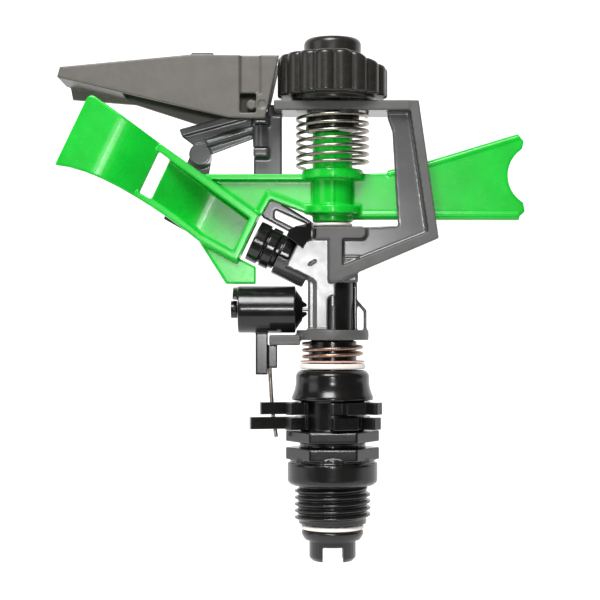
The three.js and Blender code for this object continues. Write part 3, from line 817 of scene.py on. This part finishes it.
@dataclass
class Head:
    """The grey casting, the nozzle and the small pieces that stay with them."""

    pad_face: float = -7.2 * MM
    rim_face: float = -7.36 * MM
    plate_bottom: float = 39.6 * MM
    plate_top: float = 42.35 * MM
    plate_radius: float = 9.95 * MM
    plate_core: float = 7 * MM
    keeper_foot: float = 64.5 * MM
    keeper_lean: float = 0.27
    washer_bore: float = 2.2 * MM
    pin_set_back: float = 1.6 * MM

    def build(self) -> None:
        """Makes and dresses the casting, nozzle, keeper, pins and bush."""
        casting = cad_copy("head_casting_body", "head_casting")
        carved(casting, *self._grooves())
        fused(casting, self._additions())
        finished(softened(casting, 0.3 * MM, 3), "head", GREY, ["head_casting"])
        self._grain_and_paint_lit_rims(casting)
        nozzle = softened(cad_copy("nozzle_body", "nozzle"), 0.16 * MM, 4)
        finished(nozzle, "head", BLACK, ["nozzle"])
        keeper = cad_copy("nozzle_keeper_body", "nozzle_keeper")
        for corner in keeper.data.vertices:
            corner.co.y -= (corner.co.z - self.keeper_foot) * self.keeper_lean
        softened(keeper, 0.12 * MM, 4)
        finished(keeper, "head", BLACK, ["nozzle_keeper"])
        self._turned("arm_pin", STEEL, "steel")
        self._turned("arm_washer", PTFE, "white_washer", self.washer_bore)
        self._turned("spring_bush", BLACK, "black_plastic", self.washer_bore)
        self._turned("hook_pin", BLACK, "black_plastic")
        for name, along in (("deflector_pin", (0.0, 1.0, 0.0)), ("rocker_pin", (1.0, 0.0, 0.0))):
            self._pin(name, along)

    def _grain_and_paint_lit_rims(self, casting: bpy.types.Object) -> None:
        """Gives the frame's front rims and the plate's edge their grained finish, in a lighter
        grey that paints the flash falling on them.

        Args:
            casting: the finished casting, whose first material is the polished grey.
        """
        casting.data.materials.append(GREY_RIM_PAINTED_LIT.material())
        for face in casting.data.polygons:
            centre = face.center
            on_plate = 39 * MM < centre.z < 43 * MM and centre.xy.length > 8.6 * MM
            # These faces get the grained roughness and the lighter grey, which is painted flash
            # light on the rims.
            if centre.y < self.rim_face or on_plate:
                face.material_index = 1

    def _grooves(self) -> list[bpy.types.Object]:
        """Cutters for the sink marks that ejector pins leave on the pad's face.

        Returns:
            One short rounded rod for each mark.
        """
        depth = self.pad_face - 0.12 * MM
        marks = (
            ("sink_mark", (-6.6, 59.9), (-4.6, 61.2), 0.36),
            ("sink_dot", (-9.6, 62.1), (-9.6, 62.4), 0.3),
            ("gate_scar", (-2.2, 47.5), (-2.2, 47.7), 0.35),
        )
        return [
            wire(name, [(x0 * MM, depth, z0 * MM), (x1 * MM, depth, z1 * MM)], radius * MM)
            for name, (x0, z0), (x1, z1), radius in marks
        ]

    def _additions(self) -> list[bpy.types.Object]:
        """Lays the plate's round rim over the CAD's facets.

        Returns:
            The solids to add to the casting.
        """
        low, high = self.plate_bottom, self.plate_top
        core, radius = self.plate_core, self.plate_radius
        rim = [(core, low), (radius, low), (radius, high), (core, high)]
        return [lathe("plate_rim", rounded(rim, 1.1 * MM))]

    def _turned(self, node: str, finish: Finish, slot: str, bore: float = 0.0) -> None:
        """A turned piece about an upright axis, from its CAD node's box.

        Args:
            node: the CAD node it stands for.
            finish: its material.
            slot: the name of a material slot; it is not used.
            bore: the radius of its hole, or 0 for a solid piece.
        """
        low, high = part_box(node)
        centre = (low + high) / 2
        radius = (high.x - low.x) / 2
        edge = min(0.35 * MM, (high.z - low.z) * 0.3)
        profile = [
            (bore, low.z), (radius - edge, low.z), (radius, low.z + edge),
            (radius, high.z - edge), (radius - edge, high.z), (bore, high.z),
        ]
        start = (centre.x, centre.y, 0.0)
        piece = lathe(node + "_turned", rounded(profile, edge), start, segments=72)
        finished(piece, "head", finish, [node])

    def _pin(self, node: str, along: Point) -> None:
        """A cross pin with domed ends, from its CAD node's box.

        Args:
            node: the CAD node it stands for.
            along: the direction of its axis.
        """
        low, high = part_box(node)
        axis = Vector(along)
        length = (high - low).dot(axis)
        across = high - low - axis * length
        radius = max(across) / 2
        start = (low + high) / 2 - axis * length / 2
        if axis.y:
            start.y += self.pin_set_back
            length -= self.pin_set_back
        profile = [
            (0.0, 0.0), (radius * 0.8, 0.0), (radius, radius * 0.4),
            (radius, length - radius * 0.4), (radius * 0.8, length), (0.0, length),
        ]
        piece = lathe(node + "_turned", rounded(profile, radius * 0.3), tuple(start), along, 48)
        finished(piece, "head", STEEL, [node])


@dataclass
class SwingArm:
    """The green arm with its hub, spoon and paddle, and the spring that brings it back."""

    hub_radius: float = 5.52 * MM
    hub_bore: float = 2.6 * MM
    hub_top: float = 96.5 * MM
    collar_bottom: float = 83.6 * MM
    collar_top: float = 86.3 * MM
    wire_radius: float = 0.45 * MM
    coil_radius: float = 9.7 * MM
    coil_bottom: float = 87.3 * MM
    coil_top: float = 101.2 * MM
    coil_turns: float = 6.6
    coil_start: float = math.radians(150)

    def build(self) -> None:
        """Makes and dresses the arm and its spring."""
        arm = cad_copy("arm_body", "arm")
        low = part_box("arm_washer")[1].z + 0.3 * MM
        radius, bore, top = self.hub_radius, self.hub_bore, self.hub_top
        ridge_low, ridge_high = 74 * MM, 76.4 * MM
        hub = [
            (bore, low), (5.2 * MM, low), (radius, low + 0.3 * MM),
            (radius, ridge_low), (7.3 * MM, ridge_low), (7.65 * MM, 75.2 * MM),
            (7.3 * MM, ridge_high), (radius, ridge_high),
            (radius, self.collar_bottom), (8.2 * MM, self.collar_bottom), (8.45 * MM, 85 * MM),
            (8.2 * MM, self.collar_top), (radius, self.collar_top),
            (radius, top), (bore, top),
        ]
        seam = wire("hub_seam", [(0, -radius, 76 * MM), (0, -radius, 96 * MM)], 0.4 * MM)
        below = [(5.6, 73.9), (51.3, 73.8)]
        above = [(15.3, 85.1), (26.9, 87.8), (51.3, 95.2)]
        beads = [
            wire("edge_bead", [(x * MM, -0.1 * MM, z * MM) for x, z in line], size * MM)
            for line, size in ((below, 1.35), (above, 1.15))
        ]
        fused(arm, [lathe("hub", rounded(hub, 0.5 * MM)), seam, *beads])
        finished(softened(arm, 0.27 * MM, 4), "arm", GREEN, ["arm"])
        self._spring()

    def _spring(self) -> None:
        """The return spring, which twists between the bush and the arm."""
        turns, start = self.coil_turns, self.coil_start
        low, high = self.coil_bottom, self.coil_top
        path = helix(self.coil_radius, low, high, turns, start, 56)
        first, last = Vector(path[0]), Vector(path[-1])
        leave = Vector((math.sin(start), -math.cos(start), 0.0))
        finish_angle = start + 2 * math.pi * turns
        away = Vector((-math.sin(finish_angle), math.cos(finish_angle), 0.0))
        tail = [
            first + leave * 2.4 * MM + Vector((0, 0, -0.4 * MM)),
            first + leave * 1.2 * MM,
        ]
        head = [
            last + away * 1.2 * MM,
            last + away * 2.2 * MM + Vector((0, 0, 0.2 * MM)),
        ]
        spring = wire("arm_spring_coil", [*tail, *path, *head], self.wire_radius, 5)
        spring.data.materials.append(STEEL.material())
        for face in spring.data.polygons:
            face.use_smooth = True
        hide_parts("arm_spring")
        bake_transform(spring)
        LOG.info("%s: %d faces", spring.name, len(spring.data.polygons))


@dataclass
class Knob:
    """The scalloped knob on top."""

    lobes: int = 18
    lobe_depth: float = 1.0 * MM
    shoulder: float = 1.2 * MM
    bottom: float = 106 * MM
    top: float = 117.3 * MM
    ramp: float = 2.9 * MM
    neck_bore: float = 2.2 * MM

    def build(self) -> None:
        """Makes and dresses the knob."""
        low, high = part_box("knob")
        radius = (high.x - low.x) / 2
        root = self.top - 5 * MM
        cap = [
            (0.0, root), (7.7 * MM, root), (7.85 * MM, high.z - 1.3 * MM),
            (7 * MM, high.z - 0.3 * MM), (0.0, high.z),
        ]
        neck_top = self.bottom + 0.5 * MM
        neck = [
            (self.neck_bore, low.z), (11.4 * MM, low.z), (11.6 * MM, neck_top),
            (self.neck_bore, neck_top),
        ]
        solids = [lathe("cap", rounded(cap, 0.9 * MM, 6)), lathe("neck", neck)]
        grip = fused(self._grip(radius), solids)
        finished(softened(grip, 0.2 * MM, 3), "knob", BLACK_GRIP, ["knob"])

    def _top_at(self, angle: float) -> float:
        """Height of the grip's top, which is a cam: level on the left and lower on the right."""
        share = min(1.0, max(0.0, (math.cos(angle) - 0.2) / 0.8))
        return self.top - self.ramp * share * share * (3 - 2 * share)

    def _grip(self, radius: float) -> bpy.types.Object:
        """The scalloped skirt: broad lobes with narrow valleys, under a round shoulder.

        Args:
            radius: the reach of the lobes.

        Returns:
            The skirt, closed at the bottom and the top.
        """
        around = self.lobes * 20
        levels = 10
        rows: list[tuple[float, float]] = [(0.0, 0.4 * MM), (0.04, 0.0)]
        for i in range(levels + 1):
            turn = math.pi / 2 * i / levels
            rows.append((1.0, self.shoulder * (1 - math.cos(turn))))
        corners: list[Point] = []
        for k, (share, inset) in enumerate(rows):
            rise = 0.0
            if share == 1.0:
                rise = self.shoulder * (1 - math.sin(math.pi / 2 * max(0, k - 2) / levels))
            for i in range(around):
                angle = 2 * math.pi * i / around
                wave = abs(math.cos(angle * self.lobes / 2)) ** 0.7
                reach = radius - inset - self.lobe_depth * (1 - wave)
                height = self.bottom + (self._top_at(angle) - self.bottom) * share - rise
                corners.append((reach * math.cos(angle), reach * math.sin(angle), height))
        crown = len(corners)
        corners.append((0.0, 0.0, self.top - 1.5 * MM))
        last = crown - around
        faces: list[list[int]] = [list(range(around))]
        faces += [[last + i, last + (i + 1) % around, crown] for i in range(around)]
        for k in range(len(rows) - 1):
            for i in range(around):
                j = (i + 1) % around
                below, above = k * around, (k + 1) * around
                faces.append([below + i, below + j, above + j, above + i])
        return mesh_object("knob_grip", corners, faces)


@dataclass
class Deflector:
    """The grey flap over the jet."""

    recess_left: float = -25 * MM
    recess_right: float = -19.7 * MM
    recess_bottom: float = 106 * MM
    recess_top: float = 120 * MM
    recess_depth: float = 0.6 * MM
    line_radius: float = 0.4 * MM
    plug_radius: float = 1.6 * MM
    peg_x: float = -22.1 * MM
    peg_z: float = 103.2 * MM
    peg_radius: float = 1.3 * MM
    web_right: float = -20.4 * MM
    web_half: float = 0.6 * MM
    bump_left: float = -38.2 * MM
    bump_right: float = -32.4 * MM
    bump_height: float = 116.3 * MM
    bump_radius: float = 0.95 * MM

    def build(self) -> None:
        """Makes and dresses the flap."""
        flap = cad_copy("deflector_flap", "deflector")
        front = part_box("deflector")[0].y
        carved(flap, *self._cuts(front))
        fused(flap, self._additions(front))
        piece = softened(flap, 0.24 * MM, 3)
        finished(piece, "deflector", WARM_GREY, ["deflector"])

    def _cuts(self, front: float) -> list[bpy.types.Object]:
        """Cutters for the panel beside the pin, and for the fine line on each side of it.

        Args:
            front: the depth of the flap's near face.

        Returns:
            The panel's cutter, and then the two lines'.
        """
        left, right = self.recess_left, self.recess_right
        bottom, top = self.recess_bottom, self.recess_top
        outline = [(left, bottom), (right, bottom), (right, top), (left, top)]
        recess = prism("recess", outline, front - 1 * MM, front + self.recess_depth)
        groove = front - 0.1 * MM
        lines = [
            wire("line", [(x, groove, bottom), (x, groove, top)], self.line_radius)
            for x in (left, right)
        ]
        return [recess, *lines]

    def _additions(self, front: float) -> list[bpy.types.Object]:
        """The bump on the top edge, the plug over the pin, and the peg with its web.

        Args:
            front: the depth of the flap's near face.

        Returns:
            The solids to add to the flap.
        """
        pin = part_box("deflector_pin")
        pin_x, pin_z = (pin[0].x + pin[1].x) / 2, (pin[0].z + pin[1].z) / 2
        plug_ends = [(pin_x, front + 0.25 * MM, pin_z), (pin_x, front + 1.2 * MM, pin_z)]
        plug = wire("pin_cover", plug_ends, self.plug_radius, 8)
        x, z, back = self.peg_x, self.peg_z, front + 3 * MM
        peg = wire("peg", [(x, front + 0.5 * MM, z), (x, back, z)], self.peg_radius, 8)
        low, high = z - self.web_half, z + self.web_half
        outline = [(x, low), (self.web_right, low), (self.web_right, high), (x, high)]
        web = prism("peg_web", outline, front + 0.8 * MM, back)
        deep, rise = front + 1 * MM, self.bump_height
        bump_ends = [(self.bump_left, deep, rise), (self.bump_right, deep, rise)]
        bump = wire("bump", bump_ends, self.bump_radius)
        return [bump, plug, peg, web]


@dataclass
class TripGear:
    """The rocker with its cap, pawl and wire, and the reversing arm."""

    axis_height: float = 48 * MM
    barrel_radius: float = 6.42 * MM
    barrel_left: float = -25.9 * MM
    barrel_right: float = -10.2 * MM
    nose_length: float = 1.9 * MM
    core: float = 5 * MM
    nose_core: float = 2.4 * MM
    rod_radius: float = 0.55 * MM
    rod_line: tuple[Flat, ...] = (
        (-17.3 * MM, 33.6 * MM), (-17.1 * MM, 29 * MM), (-16.8 * MM, 24 * MM),
        (-16.3 * MM, 18.6 * MM), (-15.9 * MM, 15.8 * MM),
    )
    rod_tip: float = -15.5 * MM

    def build(self) -> None:
        """Makes and dresses the trip gear."""
        self._rocker()
        cap = softened(cad_copy("rocker_cap_body", "rocker_cap"), 0.12 * MM, 4)
        finished(cap, "trip_rocker", BLACK, ["rocker_cap"])
        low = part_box("trip_wire")[0]
        path = [(x, 0, z) for x, z in (*self.rod_line, (self.rod_tip, low.z + 0.2 * MM))]
        rod = wire("trip_wire_rod", path, self.rod_radius, 5)
        finished(rod, "trip_rocker", STEEL, ["trip_wire"])
        hook = softened(cad_copy("reversing_arm_body", "reversing_arm"), 0.16 * MM, 5)
        finished(hook, "reversing_arm", GREY, ["reversing_arm"])

    def _rocker(self) -> None:
        """The barrel, round to its last facet, with its cone, prongs and pawl."""
        rocker = cad_copy("trip_rocker_body", "trip_rocker")
        height, radius, core = self.axis_height, self.barrel_radius, self.core
        left, right = self.barrel_left, self.barrel_right
        length = right - left
        barrel = [
            (core, 0.0), (radius - 0.4 * MM, 0.0), (radius, 0.4 * MM), (radius, length),
            (core, length),
        ]
        inner, overlap = self.nose_core, -0.2 * MM
        nose = [
            (inner, overlap), (radius - 0.5 * MM, overlap), (3 * MM, self.nose_length),
            (inner, self.nose_length),
        ]
        solids = [
            lathe("barrel", rounded(barrel, 0.3 * MM), (left, 0, height), (1, 0, 0)),
            lathe("nose", nose, (right, 0, height), (1, 0, 0)),
        ]
        fused(rocker, solids)
        piece = softened(rocker, 0.18 * MM, 3)
        finished(piece, "trip_rocker", BLACK, ["trip_rocker"])


# --- stage ------------------------------------------------------------------------------------


@dataclass
class Studio:
    """The pale surroundings, the lights and the camera.

    Each softbox is a name, a place, the side of its square and its power in watts.
    """

    distance: float = 420 * MM
    eye_height: float = 42.35 * MM
    eye_side: float = -8.94 * MM
    view_width: float = 165 * MM
    view_centre: float = 50.6 * MM
    room: float = 0.06
    glow: float = 0.9
    target: Point = (0, 0, 0.06)
    sweep_floor: float = -0.03
    sweep_front: float = -0.12
    sweep_wall: float = 0.5
    sweep_bend: float = 0.3
    sweep_top: float = 1.6
    sweep_half: float = 1.6
    sweep_steps: int = 12
    softboxes: tuple[tuple[str, Point, float, float], ...] = (
        ("flash", (-0.008, -0.6, 0.075), 0.035, 0.75),
        ("overhead", (-0.1, -0.42, 0.5), 0.3, 5.2),
        ("fill_left", (-0.7, -0.35, 0.2), 0.4, 0.8),
    )

    def build(self) -> None:
        """Sets the camera, the backdrop, the world and the lights."""
        self._camera()
        self._backdrop()
        self._lights()

    def _camera(self) -> None:
        """A level camera with a small rise, as a view camera is set up for a product."""
        data = bpy.data.cameras.new("camera")
        data.sensor_width = 36.0
        data.lens = data.sensor_width * self.distance / self.view_width
        data.shift_y = (self.view_centre - self.eye_height) / self.view_width
        data.clip_start = 0.01
        data.clip_end = 20.0
        camera = bpy.data.objects.new("camera", data)
        camera.location = (self.eye_side, -self.distance, self.eye_height)
        camera.rotation_euler = (math.pi / 2, 0, 0)
        bpy.context.scene.collection.objects.link(camera)
        bpy.context.scene.camera = camera

    def _backdrop(self) -> None:
        """A seamless white sweep: floor, curve and wall in one sheet, lit evenly from within."""
        floor, wall, bend = self.sweep_floor, self.sweep_wall, self.sweep_bend
        half = self.sweep_half
        line = [(self.sweep_front, floor)]
        for i in range(self.sweep_steps + 1):
            turn = math.pi / 2 * i / self.sweep_steps
            depth = wall - bend + bend * math.sin(turn)
            line.append((depth, floor + bend - bend * math.cos(turn)))
        line.append((wall, self.sweep_top))
        corners = [(x, y, z) for y, z in line for x in (-half, half)]
        faces = [[2 * i, 2 * i + 1, 2 * i + 3, 2 * i + 2] for i in range(len(line) - 1)]
        mesh = bpy.data.meshes.new("sweep")
        mesh.from_pydata(corners, [], faces)
        sweep = put_in_scene("sweep", mesh)
        paper = bpy.data.materials.new("backdrop_acrylic_white")
        paper.use_nodes = True
        tree = paper.node_tree
        tree.nodes.clear()
        paint = add_node(tree, "ShaderNodeBsdfDiffuse", inputs={"Color": linear("#A8A8A8")})
        glow = add_node(
            tree, "ShaderNodeEmission", inputs={"Color": linear("#FFFFFF"), "Strength": self.glow}
        )
        both = add_node(
            tree, "ShaderNodeAddShader", inputs={0: paint.outputs[0], 1: glow.outputs[0]}
        )
        add_node(tree, "ShaderNodeOutputMaterial", inputs={"Surface": both.outputs[0]})
        mesh.materials.append(paper)
        for face in mesh.polygons:
            face.use_smooth = True

    def _lights(self) -> None:
        """A flash above the camera, a large softbox overhead, a fill on the left, a dim room."""
        bpy.context.scene.view_settings.view_transform = "Standard"
        world = bpy.data.worlds.new("room")
        bpy.context.scene.world = world
        world.use_nodes = True
        surround = world.node_tree.nodes["Background"]
        surround.inputs["Color"].default_value = linear("#FFFFFF")
        surround.inputs["Strength"].default_value = self.room
        for light in self.softboxes:
            self._softbox(*light)

    def _softbox(self, name: str, place: Point, size: float, power: float) -> None:
        """One square softbox that faces the middle of the object.

        Args:
            name: the light's name.
            place: its centre.
            size: the side of its square.
            power: its power in watts.
        """
        data = bpy.data.lights.new(name, "AREA")
        data.size = size
        data.energy = power
        light = bpy.data.objects.new(name, data)
        light.location = place
        aim = Vector(self.target) - Vector(place)
        light.rotation_euler = aim.to_track_quat("-Z", "Y").to_euler()
        bpy.context.scene.collection.objects.link(light)


def main() -> None:
    """Builds the sprinkler in order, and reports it."""
    logging.basicConfig(level=logging.INFO, format="%(name)s %(message)s")
    for part in (Studio(), Base(), Stem(), Head(), SwingArm(), Knob(), Deflector(), TripGear()):
        part.build()
        LOG.info("%s done", type(part).__name__)


if __name__ == "__main__":
    main()
